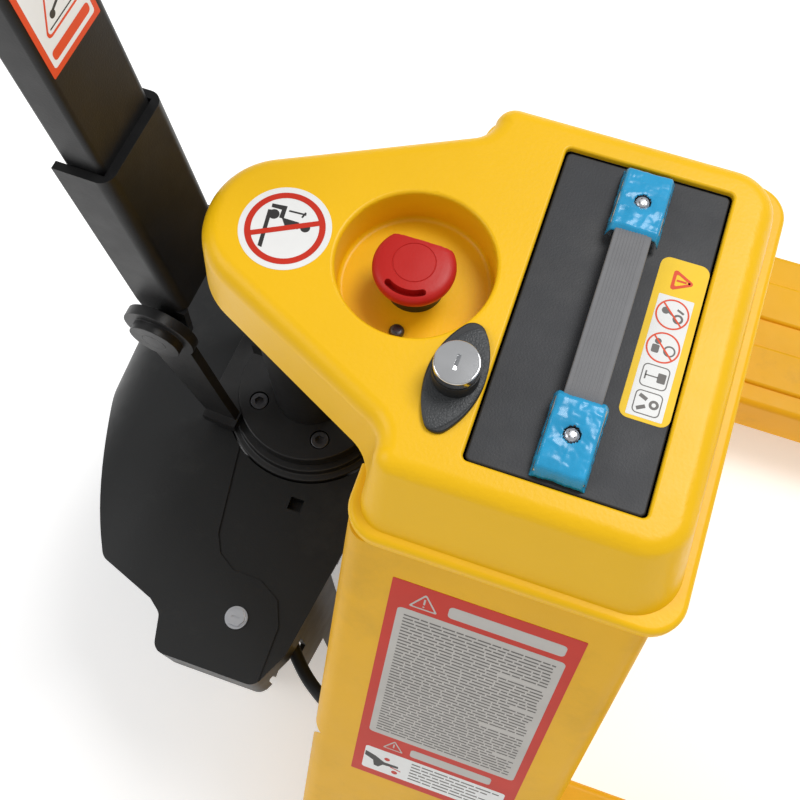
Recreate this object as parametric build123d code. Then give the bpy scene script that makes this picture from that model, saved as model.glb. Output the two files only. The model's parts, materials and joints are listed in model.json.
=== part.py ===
from build123d import *
import math
import os

# Electric pallet truck, built in millimetres.
# +X runs towards the fork tips, +Y to the left-hand fork, +Z up, ground at Z = 0.
# Layout coordinates used below: X = 0 is the rear edge of the battery opening and
# Y = 0 the centre plane. Everything is shifted by SHIFT_X at the end, so that the
# origin is at the bottom centre of the whole truck.

os.makedirs("parts", exist_ok=True)

# ---------------------------------------------------------------- dimensions
TOP = 514.0            # top face of the plastic cover above the ground
LIP_TOP = 470.0        # crease between the cover's skirt and its lip
LIP_BOT = 462.0        # underside of the lip, top edge of the steel box
WALL = 5.0             # chassis plate thickness
SLOPE = 0.47           # sideways flare of the box, mm per mm of height
BOX_Y = 133.8          # half width of the box at its top edge
BOX_X0, BOX_X1 = -48.5, 116.0
BOX_BOT = 38.0
BAY_X, BAY_Y = 91.2, 92.7       # battery opening: length from X = 0, half width
AXIS_X = -133.0        # steering axis
STEER_REST = -4.0      # the steering is turned this far at rest, degrees
LIFT = 115.0           # lift stroke
FORK_TOP = 85.0
FORK_Y0, FORK_Y1 = 182.5, 342.5
FORK_MID = (FORK_Y0 + FORK_Y1) / 2
FORK_END = 1266.0
FORK_T = 4.0
WHEEL_R, WHEEL_W = 105.0, 70.0
ROLLER_R, ROLLER_W = 40.0, 93.0
ARM_PIVOT = (970.2, 32.0)
ARM_LEN = 150.0
ARM_LUG = 25.0
ROCK = (90.0, 80.0)    # torsion shaft axis, X and Z
ROCK_A, ROCK_H = 100.0, 57.5
FLANGE_TOP = 271.0
COLUMN_R = 26.0
RECESS = (-54.4, 0.0, 41.7, 26.0)
KEY = (-15.4, -54.2)
PIVOT = (-75.5, 389.0)  # tiller pivot, X from the steering axis, and Z
LEAN = 5.3             # backward lean of the tiller at rest, degrees
CASTER_Y = 170.0
SHIFT_X = 0.0          # set below, from the whole truck's length
TIP_X = FORK_END

parts = {}


def box(x0, x1, y0, y1, z0, z1):
    return Pos((x0 + x1) / 2, (y0 + y1) / 2, (z0 + z1) / 2) * Box(abs(x1 - x0), abs(y1 - y0), abs(z1 - z0))


def cyl(r, p, length, axis="z"):
    """Cylinder whose axis starts at p and runs length along +axis."""
    c = Cylinder(r, length, align=(Align.CENTER, Align.CENTER, Align.MIN))
    rot = {"z": Rot(0, 0, 0), "x": Rot(0, 90, 0), "y": Rot(-90, 0, 0)}[axis]
    return Pos(*p) * rot * c


def poly(points):
    return make_face(Polyline(*points, close=True))


def prism_z(face, z0, z1):
    return extrude(Pos(0, 0, z0) * face, z1 - z0, dir=(0, 0, 1))


def prism_y(points, y0, y1):
    """Extrudes an XZ outline from y0 to y1."""
    f = make_face(Polyline(*[(x, y0, z) for x, z in points], close=True))
    return extrude(f, y1 - y0, dir=(0, 1, 0))


def prism_x(points, x0, x1):
    """Extrudes a YZ outline from x0 to x1."""
    f = make_face(Polyline(*[(x0, y, z) for y, z in points], close=True))
    return extrude(f, x1 - x0, dir=(1, 0, 0))


def try_fillet(shape, edges, radii):
    for r in radii:
        try:
            s = fillet(edges, r)
            if s.is_valid and s.volume > 0:
                return s
        except Exception:
            continue
    return shape


def put(name, shape):
    parts[name] = shape


def wall_y(z):
    return BOX_Y + SLOPE * (LIP_BOT + 1.4 - z)


# ---------------------------------------------------------------- cover
def outline(xf, xr, y, yn, tip, t, radii):
    """Plan of the cover: a wide rectangle for the battery and a tapering nose."""
    pts = [(xf, -y), (xf, y), (xr, y), (xr, yn), (tip, t), (tip, -t), (xr, -yn), (xr, -y)]
    f = poly(pts)
    rf, rc, rn, rt = radii
    vs = f.vertices()

    def near(p):
        return min(vs, key=lambda v: (v.X - p[0]) ** 2 + (v.Y - p[1]) ** 2)

    f2 = fillet([near(pts[0]), near(pts[1])], rf)
    vs = f2.vertices()
    f2 = fillet([near(pts[2]), near(pts[7])], rc)
    vs = f2.vertices()
    f2 = fillet([near(pts[3]), near(pts[6])], rn)
    vs = f2.vertices()
    f2 = fillet([near(pts[4]), near(pts[5])], rt)
    return f2


cover_bot = outline(121.5, -45.0, 129.0, 94.8, -174.0, 29.0, (26, 17, 26, 44))
cover_top = outline(113.2, -41.0, 107.6, 89.6, -170.0, 27.0, (24, 10, 12, 42))
cover_out = loft([Pos(0, 0, LIP_TOP) * cover_bot, Pos(0, 0, TOP) * cover_top], ruled=True)
top_edges = [e for e in cover_out.edges() if abs(e.center().Z - TOP) < 0.01]
cover_out = try_fillet(cover_out, top_edges, (15, 13, 11, 9, 7))

cav_bot = outline(118.0, -41.5, 125.5, 91.3, -170.5, 27.0, (23, 14, 26, 41))
cav_top = outline(109.0, -37.0, 103.4, 85.0, -164.0, 24.5, (20, 8, 14, 38))
cover_cav = loft([Pos(0, 0, LIP_TOP) * cav_bot, Pos(0, 0, TOP - 3.5) * cav_top], ruled=True)
ce = [e for e in cover_cav.edges() if abs(e.center().Z - (TOP - 3.5)) < 0.01]
cover_cav = try_fillet(cover_cav, ce, (12, 10, 8, 6))
cover = cover_out - cover_cav

# lip round the box part only, open where the nose joins
lip = fillet(
    poly([(127.8, -135.0), (127.8, 135.0), (-50.5, 135.0), (-50.5, -135.0)]).vertices(), 20
)
lip = prism_z(lip, LIP_BOT, LIP_TOP)
lip = try_fillet(lip, [e for e in lip.edges() if abs(e.center().Z - LIP_TOP) < 0.01], (3.5, 3, 2))
lip_in = fillet(
    poly([(118.0, -125.5), (118.0, 125.5), (-41.5, 125.5), (-41.5, -125.5)]).vertices(), 18
)
lip = lip - prism_z(lip_in, LIP_BOT - 1, LIP_TOP + 1) - box(-60, -30, -97, 97, LIP_BOT - 1, LIP_TOP + 1)
cover = cover + lip

# recess for the stop button
rx, ry, rr, rd = RECESS
cup = cyl(rr + 3, (rx, ry, TOP - rd - 3), rd + 0.2)
cover = cover + cup
cut = cyl(rr, (rx, ry, TOP - rd), rd + 10)
cut = try_fillet(cut, [e for e in cut.edges() if abs(e.center().Z - (TOP - rd)) < 0.01], (3, 2))
cover = cover - cut
rim = [e for e in cover.edges() if e.geom_type == GeomType.CIRCLE and abs(e.radius - rr) < 0.05 and abs(e.center().Z - TOP) < 0.1]
if rim:
    cover = try_fillet(cover, rim, (2.4, 1.8, 1.2))
cover = cover - cyl(11.3, (rx, ry, TOP - rd - 5), 8)
cover = cover - cyl(1.9, (rx - 0.5, ry - 29.0, TOP - rd - 5), 8)

# battery opening and key switch hole
opening = fillet(box(0, BAY_X, -BAY_Y, BAY_Y, TOP - 12, TOP + 10).edges().filter_by(Axis.Z), 3)
cover = cover - opening
oe = [e for e in cover.edges() if abs(e.center().Z - TOP) < 0.05 and -1 < e.center().X < BAY_X + 1 and abs(e.center().Y) < BAY_Y + 1]
cover = try_fillet(cover, oe, (1.6, 1.2, 0.8))
cover = cover - cyl(9.2, (KEY[0], KEY[1], TOP - 10), 20)
put("cover", cover)

# ---------------------------------------------------------------- steel box
def trapezoid(off, z0, z1):
    return [(-wall_y(z0) + off, z0), (wall_y(z0) - off, z0), (wall_y(z1) - off, z1), (-wall_y(z1) + off, z1)]


frame = prism_x(trapezoid(0, BOX_BOT, LIP_BOT), BOX_X0, BOX_X1)
slant = [e for e in frame.edges() if e.length > 300 and abs(e.center().Z - (BOX_BOT + LIP_BOT) / 2) < 5]
frame = fillet(slant, 12)
hollow = prism_x(trapezoid(WALL * 1.1, BOX_BOT - 10, LIP_BOT + 10), BOX_X0 + WALL, BOX_X1 - WALL)
slant = [e for e in hollow.edges() if e.length > 300 and abs(e.center().Z - (BOX_BOT + LIP_BOT) / 2) < 5]
hollow = fillet(slant, 7)
frame = frame - hollow
# wheel arch and cable slot in the rear wall, push rod windows in the front wall
arch = fillet(box(BOX_X0 - 5, BOX_X0 + 20, -130, 130, BOX_BOT - 20, 262).edges().filter_by(Axis.X), 15)
frame = frame - arch
frame = frame - box(BOX_X0 - 5, BOX_X0 + WALL + 3, -222, -190, 105, 272)
for s in (-1, 1):
    frame = frame - box(BOX_X1 - 10, BOX_X1 + 5, s * FORK_MID - 19, s * FORK_MID + 19, 42, 68)
# notch for the stop button's contact block
frame = frame - box(BOX_X0 - 5, BOX_X0 + 12, -23, 23, 430, LIP_BOT + 5)
put("chassis_frame", frame)

# ---------------------------------------------------------------- forks
def mirror_y(s):
    return mirror(s, about=Plane.XZ)


_f = box(BOX_X1, FORK_END, FORK_Y0, FORK_Y1, FORK_TOP - 50, FORK_TOP)
_f = fillet([e for e in _f.edges().filter_by(Axis.Z) if e.center().X > FORK_END - 1], 45)
_f = try_fillet(_f, [e for e in _f.edges() if abs(e.center().Z - FORK_TOP) < 0.01 and e.center().X > BOX_X1 + 1], (6, 5, 4))
_f = _f - prism_y([(FORK_END - 60, FORK_TOP + 1), (FORK_END + 5, FORK_TOP + 1), (FORK_END + 5, FORK_TOP - 17)], FORK_Y0 - 5, FORK_Y1 + 5)
_f = _f - box(BOX_X1 + WALL, FORK_END - 48, FORK_Y0 + FORK_T, FORK_Y1 - FORK_T, FORK_TOP - 60, FORK_TOP - FORK_T)
_f = _f - box(FORK_END - 60, FORK_END - 22, FORK_Y0 + 24, FORK_Y1 - 24, FORK_TOP - 60, FORK_TOP - 24)
for a, b in ((FORK_Y0 + FORK_T - 0.5, FORK_Y0 + FORK_T + 10), (FORK_Y1 - FORK_T - 10, FORK_Y1 - FORK_T + 0.5)):
    _f = _f + box(BOX_X1 + 2, 900, a, b, FORK_TOP - 50, FORK_TOP - 46)
for c in (222.0, 290.0):
    rib = extrude(Pos(561.0, c, FORK_TOP - 1) * RectangleRounded(738.0, 40.0, 11.0), 4.5, dir=(0, 0, 1))
    rib = try_fillet(rib, [e for e in rib.edges() if abs(e.center().Z - (FORK_TOP + 3.5)) < 0.01], (3.2, 2.5))
    _f = _f + rib
_px, _pz = ARM_PIVOT
for a, b in ((FORK_Y0, FORK_Y0 + FORK_T), (FORK_Y1 - FORK_T, FORK_Y1)):
    _f = _f + prism_y([(_px - 40, 45), (_px + 40, 45), (_px + 18, 16), (_px - 18, 16)], a, b)
_f = _f - cyl(10.0, (_px, FORK_Y0 - 5, _pz), 200, "y")
_f = _f - box(BOX_X1 - 1, BOX_X1 + WALL + 1, FORK_MID - 19, FORK_MID + 19, 42, 68)
put("fork_left", _f)
put("fork_right", mirror_y(_f))

# ---------------------------------------------------------------- battery bay and electrics
bay = box(-2.5, BAY_X + 2.5, -BAY_Y - 2.5, BAY_Y + 2.5, 200, TOP - 3.6)
bay = bay - box(0, BAY_X, -BAY_Y, BAY_Y, 203, TOP)
bay = bay + box(27, 64, -22, 22, 190, 203) + box(31, 60, -18, 18, 202, 214)
put("battery_bay", bay)


pump = cyl(38, (50, 150, 115), 110)
pump = pump + cyl(26, (50, 150, 225), 16)
put("pump_motor", pump)
tank = fillet(box(10, 95, 188.5, 238, 120, 200).edges(), 6) + box(34, 66, 180, 192, 140, 180) - cyl(38.0, (50, 150, 100), 120)
put("oil_tank", tank)

ctrl = box(15, 90, -95.2 - 68, -95.2, 306, 336)
for i in range(7):
    ctrl = ctrl + box(15, 90, -102.2 - i * 9, -99.2 - i * 9, 336, 352)
ctrl = ctrl + box(24, 46, -152, -130, 300, 306)
put("controller", ctrl)

# nose bracket carrying the lift plunger; its foot is bolted to the rear wall
nb = box(-158, -110, -26, 26, 476, 482) + box(-125, -48.5, -36, 36, 476, 482) - box(-86, -47, -23, 23, 470, 490)
nb = nb + box(-54.5, -48.5, -40, 40, 400, 476.1) - box(-60, -40, -23, 23, 428, 490)
for s in (-1, 1):
    nb = nb + prism_y([(-54.5, 430), (-54.5, 476.1), (-110, 476.1)], s * 30 - 2, s * 30 + 2)
nb = nb - cyl(16.0, (AXIS_X, 0, 470), 20)
put("nose_bracket", nb)

plunger = cyl(16.0, (AXIS_X, 0, 288), 205) + cyl(24, (AXIS_X, 0, 482), 6)
plunger = plunger - cyl(3, (AXIS_X, 0, 280), 220)
put("lift_plunger", plunger)

# hose from the pump head to the plunger's top
route = [(AXIS_X + 7, 4, 498.4), (-105, 30, 497), (-82, 58, 489), (-54, 66, 484), (-30, 70, 470), (-22, 78, 430), (-22, 106, 370), (-10, 134, 322), (20, 146, 290), (46, 150, 276), (50, 150, 242.2)]


def tube(points, r, label):
    vs = [Vector(*p) for p in points]
    radii = []
    for i in range(1, len(vs) - 1):
        a, b = vs[i] - vs[i - 1], vs[i + 1] - vs[i]
        turn = math.radians(a.get_angle(b))
        radii.append(0.45 * min(a.length, b.length) / math.tan(turn / 2))
    line = FilletPolyline(*points, radius=radii)
    plane = Plane(origin=line @ 0, z_dir=line % 0)
    body = sweep(plane * Circle(r), path=line)
    print(label, "length", round(line.length, 1), "radii", [round(x, 1) for x in radii], "volume ratio", round(body.volume / (math.pi * r * r * line.length), 4))
    return body


put("hydraulic_hose", tube(route, 4.5, "hydraulic_hose"))

# ---------------------------------------------------------------- stop button and key switch
eb = cyl(15.8, (rx, ry, TOP - rd), 12.1) + cyl(11.0, (rx, ry, TOP - rd - 30), 30)
eb = eb + cyl(15.5, (rx, ry, TOP - rd - 8), 5)
eb = eb + fillet(box(rx - 13, rx + 13, ry - 17, ry + 17, TOP - rd - 52, TOP - rd - 30).edges().filter_by(Axis.Z), 2)
eb = eb - cyl(8.05, (rx, ry, TOP - rd - 22), 60)
put("estop_body", eb)

eh = cyl(8.0, (rx, ry, TOP - rd - 16), 33)
head = cyl(21.0, (rx, ry, 504.4), 13.6)
te = [e for e in head.edges() if abs(e.center().Z - 518.0) < 0.01]
be = [e for e in head.edges() if abs(e.center().Z - 504.4) < 0.01]
head = fillet(te, 2.6)
be = [e for e in head.edges() if abs(e.center().Z - 504.4) < 0.01]
head = fillet(be, 1.4)
groove = cyl(30, (rx, ry, 509.0), 1.2) - cyl(20.2, (rx, ry, 508.5), 2.2)
head = head - groove
head = head - box(rx - 20, rx + 20, ry + 15.6, ry + 30, 500, 530)
ring = cyl(11.4, (rx, ry, 517.3), 2) - cyl(10.7, (rx, ry, 517.2), 3)
head = head - ring
arc = (cyl(18.8, (rx, ry, 511.5), 8) - cyl(15.0, (rx, ry, 511), 10)) & box(rx - 10.5, rx + 10.5, ry - 30, ry - 10, 500, 530)
head = head - arc
put("estop_head", eh + head)

sc = cyl(4.0, (rx - 0.5, ry - 29.0, TOP - rd), 2.4)
sc = fillet([e for e in sc.edges() if abs(e.center().Z - (TOP - rd + 2.4)) < 0.01], 1.2)
sc = sc + cyl(1.85, (rx - 0.5, ry - 29.0, TOP - rd - 4.4), 4.6) - cyl(1.3, (rx - 0.5, ry - 29.0, TOP - rd + 0.9), 3)
put("recess_screw", sc)

# pointed oval plate: two arcs that meet at the ends
L2, W2 = 34.5, 14.6
R_eye = (L2 * L2 + W2 * W2) / (2 * W2)
eye = (Pos(R_eye - W2, 0) * Circle(R_eye)) & (Pos(-(R_eye - W2), 0) * Circle(R_eye))
eye = fillet(eye.vertices(), 7)
eye_s = extrude(eye, 2.6)
eye_s = try_fillet(eye_s, [e for e in eye_s.edges() if abs(e.center().Z - 2.6) < 0.01], (1.0, 0.6))
place = Pos(KEY[0], KEY[1], TOP) * Rot(0, 0, -3)
kp = place * eye_s + cyl(12.0, (KEY[0], KEY[1], TOP), 13.0) + cyl(9.0, (KEY[0], KEY[1], TOP - 32), 32.2)
kp = kp - cyl(8.05, (KEY[0], KEY[1], TOP - 26), 60)
put("key_switch_body", kp)
kb = cyl(8.0, (KEY[0], KEY[1], TOP - 22), 36) + fillet(
    cyl(11.6, (KEY[0], KEY[1], TOP + 13.5), 6.5).edges().filter_by(GeomType.CIRCLE), 0.9
)
kb = kb - box(KEY[0] - 0.9, KEY[0] + 0.9, KEY[1] - 4.2, KEY[1] + 4.2, TOP + 12, TOP + 30)
put("key_barrel", kb)

# ---------------------------------------------------------------- battery
bat = box(1.0, BAY_X - 1.0, -BAY_Y + 1.0, BAY_Y - 1.0, 203.4, TOP - 3.0)
bat = fillet(bat.edges().filter_by(Axis.Z), 3)
bat = try_fillet(bat, [e for e in bat.edges() if abs(e.center().Z - (TOP - 3)) < 0.01], (1.2, 0.8))
bat = bat - box(28, 63, -20, 20, 200, 216)
for s in (-1, 1):
    bat = bat - cyl(2.1, (46.3, s * 67, TOP - 20), 30)
put("battery_case", bat)
HX = 46.3
ZB = TOP - 3.0
strap_prof = [(-58, ZB + 3.2), (-45, ZB + 8.0), (-20, ZB + 11.5), (20, ZB + 11.5), (45, ZB + 8.0), (58, ZB + 3.2),
              (58, ZB + 6.2), (45, ZB + 11.2), (20, ZB + 14.7), (-20, ZB + 14.7), (-45, ZB + 11.2), (-58, ZB + 6.2)]
put("battery_strap", prism_x(strap_prof, HX - 9.8, HX + 9.8))
caps = []
for s in (-1, 1):
    c = prism_x([(s * 49, ZB), (s * 49, ZB + 12.0), (s * 60, ZB + 12.0), (s * 86, ZB + 8.0), (s * 88, ZB + 6.0), (s * 88, ZB)], HX - 13.0, HX + 13.0)
    c = try_fillet(c, [e for e in c.edges() if e.center().Z > ZB + 5], (2.0, 1.5, 1.0))
    c = c - prism_x([(s * 48, ZB + 1.0), (s * 48, ZB + 11.6), (s * 58.5, ZB + 7.0), (s * 58.5, ZB + 2.5)], HX - 10.2, HX + 10.2)
    c = c - cyl(2.1, (HX, s * 67, ZB - 1), 20) - cyl(4.6, (HX, s * 67, ZB + 6.5), 20)
    caps.append(c)
put("strap_caps", caps[0] + caps[1])
scr = []
for s in (-1, 1):
    q = cyl(4.4, (HX, s * 67, ZB + 6.5), 2.6)
    q = fillet([e for e in q.edges() if abs(e.center().Z - (ZB + 9.1)) < 0.01], 1.2)
    q = q + cyl(2.0, (HX, s * 67, ZB - 12), 18.6)
    q = q - box(HX - 2.4, HX + 2.4, s * 67 - 0.5, s * 67 + 0.5, ZB + 7.9, ZB + 12)
    q = q - box(HX - 0.5, HX + 0.5, s * 67 - 2.4, s * 67 + 2.4, ZB + 7.9, ZB + 12)
    scr.append(q)
put("strap_screws", scr[0] + scr[1])

# ---------------------------------------------------------------- lift linkage
rxx, rzz = ROCK
ang = math.degrees(math.atan2(ROCK_H, ROCK_A))          # lever above horizontal at rest
shaft = cyl(15, (rxx, -286, rzz), 572, "y")
for s in (-1, 1):
    lever = box(-134, 0, s * 80 - 4, s * 80 + 4, -19, 19)
    lever = fillet([e for e in lever.edges().filter_by(Axis.Y) if e.center().X < -100], 12)
    lever = lever - box(-126, -88, s * 80 - 6, s * 80 + 6, -10.6, 10.6)
    lever = lever + cyl(19.5, (0, s * 80 - 9, 0), 18, "y")
    shaft = shaft + Pos(rxx, 0, rzz) * Rot(0, ang, 0) * lever
    b = 20.56
    lug = box(-8, 8, s * FORK_MID - 7, s * FORK_MID + 7, -b, 0) + cyl(8, (0, s * FORK_MID - 7, -b), 14, "y")
    shaft = shaft + Pos(rxx, 0, rzz) * Rot(0, ang, 0) * lug
put("torsion_shaft", shaft)

brk = None
for s in (-1, 1):
    b_ = box(rxx - 24, BOX_X1 - WALL, s * 200 - 6, s * 200 + 6, rzz - 24, rzz + 24) - cyl(15.05, (rxx, s * 200 - 10, rzz), 20, "y")
    brk = b_ if brk is None else brk + b_
put("shaft_brackets", brk)

lugx = rxx - 20.56 * math.sin(math.radians(ang))
rear = lugx + 8 + 0.8
arm_rest = math.degrees(math.asin((ROLLER_R - ARM_PIVOT[1]) / ARM_LEN))
arm_full = -math.degrees(math.asin((LIFT - (ROLLER_R - ARM_PIVOT[1])) / ARM_LEN))
ARM_SWING = arm_rest - arm_full
lug_rest = 90 + ARM_SWING / 2
plx = ARM_PIVOT[0] + ARM_LUG * math.cos(math.radians(lug_rest))
plz = ARM_PIVOT[1] + ARM_LUG * math.sin(math.radians(lug_rest))
front = plx - 8 - 0.8
ROD_TRAVEL = 2 * ARM_LUG * math.sin(math.radians(ARM_SWING / 2))
rods = None
for s in (-1, 1):
    r_ = cyl(8, (rear + 5, s * FORK_MID, 54), front - rear - 10, "x")
    r_ = r_ + box(rear, rear + 6, s * FORK_MID - 15, s * FORK_MID + 15, 45, 60)
    r_ = r_ + box(front - 6, front, s * FORK_MID - 14, s * FORK_MID + 14, 47, 66)
    rods = r_ if rods is None else rods + r_
put("push_rods", rods)

arms = None
axles = None
px, pz = ARM_PIVOT
for s in (-1, 1):
    c = s * FORK_MID
    a_ = cyl(13.8, (0, c - 57, 0), 114, "y")
    for t in (-1, 1):
        y0 = c + t * 53.5 - 3.5
        plate = box(0, ARM_LEN, y0, y0 + 7, -15, 15) + cyl(15, (ARM_LEN, y0, 0), 7, "y")
        a_ = a_ + plate
    lugs = Rot(0, -(lug_rest - 90) - 0.0, 0) * (box(-4, 4, c - 8, c + 8, 0, ARM_LUG) + cyl(8, (0, c - 8, ARM_LUG), 16, "y"))
    a_ = Rot(0, -arm_rest, 0) * a_ + lugs
    a_ = Pos(px, 0, pz) * a_
    a_ = a_ - cyl(10.05, (px, c - 70, pz), 140, "y")
    ax_x, ax_z = px + ARM_LEN * math.cos(math.radians(arm_rest)), pz + ARM_LEN * math.sin(math.radians(arm_rest))
    a_ = a_ - cyl(10.0, (ax_x, c - 70, ax_z), 140, "y")
    arms = a_ if arms is None else arms + a_
    x_ = cyl(10.0, (ax_x, c - 59, ax_z), 118, "y")
    axles = x_ if axles is None else axles + x_
    ro = cyl(ROLLER_R, (ax_x, c - ROLLER_W / 2, ax_z), ROLLER_W, "y")
    ro = fillet([e for e in ro.edges() if e.geom_type == GeomType.CIRCLE], 3)
    ro = ro - cyl(10.05, (ax_x, c - 60, ax_z), 120, "y")
    for t in (-1, 1):
        ro = ro - (cyl(26, (ax_x, c + t * (ROLLER_W / 2) - 4, ax_z), 8, "y") - cyl(15, (ax_x, c + t * (ROLLER_W / 2) - 5, ax_z), 10, "y"))
    put("load_roller_right" if s < 0 else "load_roller_left", ro)
put("roller_arms", arms)
put("roller_axles", axles)
pins = None
for s in (-1, 1):
    p_ = cyl(10.0, (px, s * FORK_MID - 80, pz), 160, "y")
    pins = p_ if pins is None else pins + p_
put("arm_pivot_pins", pins)

# ---------------------------------------------------------------- drive base: lifts with the drive wheel
REAR_PROFILE = [(-303.0, 150.0), (-300.5, 188.0), (-290.0, 215.0), (-271.0, 233.0), (-247.0, 243.5), (-215.0, 249.2)]
REAR_PLAN = [(-242.0, -146.0), (-257.5, -117.0), (-273.5, -80.0), (-288.5, -43.0), (-302.0, 0.0), (-288.5, 43.0), (-273.5, 80.0), (-257.5, 117.0), (-242.0, 146.0)]
SIDE_PLAN = [(-234.0, 159.0), (-208.0, 168.5), (-189.0, 175.5), (-179.0, 183.0), (-172.5, 208.0), (-98.0, 208.0), (-85.0, 181.0), (-73.0, 104.0), (-66.0, 50.0)]
SIDE_INSET = [(0.7, -0.9), (0.3, -1.0), (0.4, -1.0), (1.0, -0.8), (1.0, -1.0), (-0.9, -1.0), (-1.0, -0.4), (-1.0, -0.2), (-1.0, 0.0)]


def shroud_solid(t, top, zbot=48.0):
    """Moulded cover over the drive wheel and the two side casters, symmetric about Y = 0; t is the inset."""
    curve = [(x + t, z - t * 0.8) for x, z in REAR_PROFILE]
    line = Spline(*[(x, 0, z) for x, z in curve])
    rest = Polyline((curve[-1][0], 0, curve[-1][1]), (-200.0, 0, top), (-66.0 - t, 0, top), (-66.0 - t, 0, zbot), (curve[0][0], 0, zbot), (curve[0][0], 0, curve[0][1]))
    side = make_face(line + rest)
    body = Pos(0, -215, 0) * extrude(side, 430, dir=(0, 1, 0))
    arc_pts = [(x + t * 0.95, y * (1 - t * 0.003)) for x, y in REAR_PLAN]
    arc_ = Spline(*arc_pts)
    left = [arc_pts[-1]] + [(x + t * i, y + t * j) for (x, y), (i, j) in zip(SIDE_PLAN, SIDE_INSET)]
    right = [(x, -y) for x, y in left]
    plan = make_face(arc_ + Polyline(*left, *reversed(right)))
    plan = fillet([v for v in plan.vertices() if abs(abs(v.Y) - (159 - 0.9 * t)) < 0.5 and v.X < -225], 12)
    plan = fillet([v for v in plan.vertices() if abs(abs(v.Y) - (183 - 0.8 * t)) < 0.5 and v.X < -170], 8)
    plan = fillet([v for v in plan.vertices() if abs(v.Y) > 206 - t], 9 - t * 0.8)
    return body & prism_z(plan, zbot - 1, top + 1)


SH_TOP = 250.0
outer = shroud_solid(0.0, SH_TOP)
inner = shroud_solid(3.5, SH_TOP - 3.5, 30.0)
sh_edges = [e for e in outer.edges() if abs(e.center().Z - SH_TOP) < 0.5 and e.center().X < -60 and e.center().X > -199]
outer = try_fillet(outer, sh_edges, (8, 6, 4, 3))
shell = outer - inner
# the lobes over the casters stop well above the floor
shell = shell - box(-215, -40, -230, -172, 20, 202) - box(-215, -40, 172, 230, 20, 202)
shell = shell - cyl(58.0, (AXIS_X, -CASTER_Y, 20), 106) - cyl(58.0, (AXIS_X, CASTER_Y, 20), 106)
shell = shell - cyl(64.0, (AXIS_X, 0, 200), 80)
seam = [(-172.4, -48.3), (-161.7, -116.7), (-154.7, -129.7), (-141.3, -138.0), (-120.6, -138.4), (-104.1, -147.7), (-96.5, -164.9), (-96.3, -220)]
fr = [(-172.4, 0)] + seam + [(-20, -220), (-20, 0)]
fr = fr[:-1] + [(-20, 220), (-96.3, 220)] + [(x, -y) for x, y in reversed(seam[:-1])]
front_zone = prism_z(poly(fr), 20, 270)
rear_shell = shell - front_zone
gap = prism_z(poly(fr), 20, 270)
front_shell = (Pos(0, 0, -1.2) * shell) & front_zone
front_shell = front_shell - box(-122, -112, -83.5, -74, 200, 260)
front_shell = front_shell - box(-99, -60, -199, -164, 190, 224)
# a central slot in the front plate clears the lift beam and the drive wheel's arch
front_shell = front_shell - box(-100, -50, -118, 118, 30, 246.0)
rear_shell = rear_shell - box(-300, -240, -70, 70, 30, 66)


def biggest(s, minimum=500.0):
    keep = [x for x in s.solids() if x.volume > minimum]
    out = keep[0]
    for k in keep[1:]:
        out = out + k
    return out


put("shroud_rear", biggest(rear_shell))
put("shroud_front", biggest(front_shell))

zs = None
for s in (-1, 1):
    sx, sy = -126.5, s * 168.6
    h = extrude(Pos(sx, sy, SH_TOP) * RegularPolygon(6.6, 6), 3.6)
    h = h + cyl(8.0, (sx, sy, SH_TOP), 1.2) + cyl(3.0, (sx, sy, SH_TOP - 16), 16)
    h = h - box(sx - 3, sx + 3, sy - 0.6, sy + 0.6, SH_TOP + 2.4, SH_TOP + 6)
    zs = h if zs is None else zs + h
rear_shell_holes = None
parts["shroud_rear"] = parts["shroud_rear"] - cyl(3.0, (-126.5, -168.6, 230), 40) - cyl(3.0, (-126.5, 168.6, 230), 40)
put("shroud_screws", zs)

base = box(-168, -92, -188, 188, 226, 238)
base = base + cyl(63, (AXIS_X, 0, 226), 33)                 # bearing housing, stepped rings
base = base - cyl(63.5, (AXIS_X, 0, 252), 20) + (cyl(58, (AXIS_X, 0, 245), 14) )
base = base - cyl(45.05, (AXIS_X, 0, 220), 60)
base = base - box(-96.5, -90, -190, -178, 220, 245) - box(-96.5, -90, 178, 190, 220, 245)
for s in (-1, 1):
    base = base - cyl(3.0, (-126.5, s * 168.6, 220), 40)
put("drive_base_plate", base)

beam = box(-92, -5, -66, 66, 226, 238) - box(-100, -17, -46, 46, 220, 245) - cyl(63.0, (AXIS_X, 0, 220), 30)
for s in (-1, 1):
    beam = beam + box(-17, -5, s * 58 - 8, s * 58 + 8, 130, 232)
beam = beam + cyl(8, (-10, -90, 137.5), 180, "y")
put("lift_beam", beam)

cylb = cyl(COLUMN_R, (AXIS_X, 0, 252), 178) - cyl(16.05, (AXIS_X, 0, 285), 200)
cylb = cylb + cyl(30, (AXIS_X, 0, 420), 10) - cyl(16.05, (AXIS_X, 0, 400), 60)
cylb = cylb + cyl(20, (AXIS_X, 0, 232), 22)
cylb = cylb + box(AXIS_X - 34, AXIS_X - 20, -7, 7, 330, 344)
cylb = cylb - cyl(16.05, (AXIS_X, 0, 286), 200)
put("lift_cylinder", cylb)

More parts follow.
